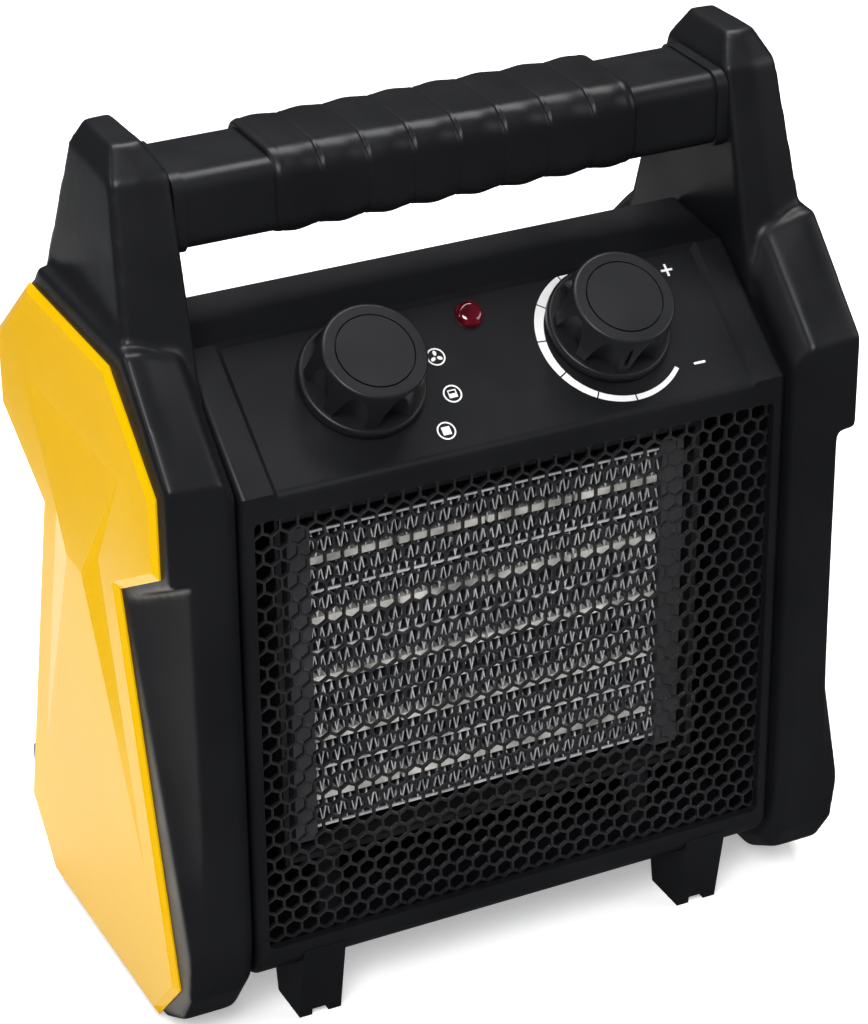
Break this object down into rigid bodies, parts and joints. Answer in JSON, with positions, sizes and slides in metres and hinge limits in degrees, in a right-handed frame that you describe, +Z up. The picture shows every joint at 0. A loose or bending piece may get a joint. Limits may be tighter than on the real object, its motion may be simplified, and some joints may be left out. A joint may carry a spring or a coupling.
{
  "type": "ceramic space heater",
  "caption": "Portable ceramic fan heater: black housing with a hexagonal mesh front, sloped control panel with knobs, handle across posts, yellow side panels and feet.",
  "frame": {"origin": "on the floor under the middle of the body (bottom centre of the bounding box)", "axes": "+X to the right seen from the front, -Y the direction that the mesh front faces, +Z up"},
  "size_m": [0.2546, 0.158, 0.306],
  "materials": {
    "black_mesh": "powder coated",
    "black_plastic": "satin charcoal, fine moulded texture",
    "brass": "plain",
    "ceramic_white": "unglazed",
    "fan_plastic": "heat resistant",
    "fin_aluminium": "bright strip",
    "grey_plastic": "heat resistant",
    "grip_rubber": "soft touch",
    "knob_plastic": "satin",
    "lead_insulation": "silicone",
    "ptc_stone": "metallised ceramic",
    "red_lens": "clear red",
    "steel": "plated",
    "yellow_plastic": "glossy yellow",
    "zinc_steel": "zinc plated sheet"
  },
  "bodies": {
    "housing": {"cable_gland": "grip_rubber", "control_nuts": "steel", "fan_motor": "zinc_steel", "fan_shroud": "zinc_steel", "fin_dividers": "fin_aluminium", "fin_strips": "fin_aluminium", "front_feet": "black_plastic", "front_grille": "black_mesh", "front_housing": "black_plastic", "grille_screws": "steel", "handle_bar": "black_plastic", "handle_collars": "black_plastic", "handle_grip": "grip_rubber", "heater_duct": "zinc_steel", "heater_end_caps": "grey_plastic", "heater_terminals": "brass", "indicator_lamp": "grey_plastic", "indicator_lens": "red_lens", "left_side_frame": "black_plastic", "left_side_panel": "yellow_plastic", "motor_bracket": "zinc_steel", "motor_screws": "steel", "ptc_bars": "ptc_stone", "rear_feet": "black_plastic", "rear_grille": "black_plastic", "rear_housing": "black_plastic", "rear_screws": "steel", "right_side_frame": "black_plastic", "right_side_panel": "yellow_plastic", "rotary_switch": "grey_plastic", "terminal_block": "grey_plastic", "thermal_cutout": "steel", "thermostat_body": "ceramic_white", "wiring": "lead_insulation"},
    "switch_knob": {"switch_knob": "knob_plastic", "switch_knob_cap": "knob_plastic", "switch_shaft": "steel"},
    "thermostat_knob": {"thermostat_knob": "knob_plastic", "thermostat_knob_cap": "knob_plastic", "thermostat_shaft": "steel"},
    "fan": {"fan_impeller": "fan_plastic", "motor_shaft": "steel"}
  },
  "joints": [
    {"name": "switch_turn", "type": "hinge", "parent": "housing", "child": "switch_knob", "pos_m": [-0.0444, -0.04777, 0.2232], "axis": [0, -0.6006, 0.7996], "range_deg": [-81, 0]},
    {"name": "thermostat_turn", "type": "hinge", "parent": "housing", "child": "thermostat_knob", "pos_m": [0.0444, -0.04777, 0.2232], "axis": [0, -0.6006, 0.7996], "range_deg": [-199, 53]},
    {"name": "fan_spin", "type": "hinge", "parent": "housing", "child": "fan", "pos_m": [0, 0.02, 0.118], "axis": [0, 1, 0], "continuous": true}
  ]
}
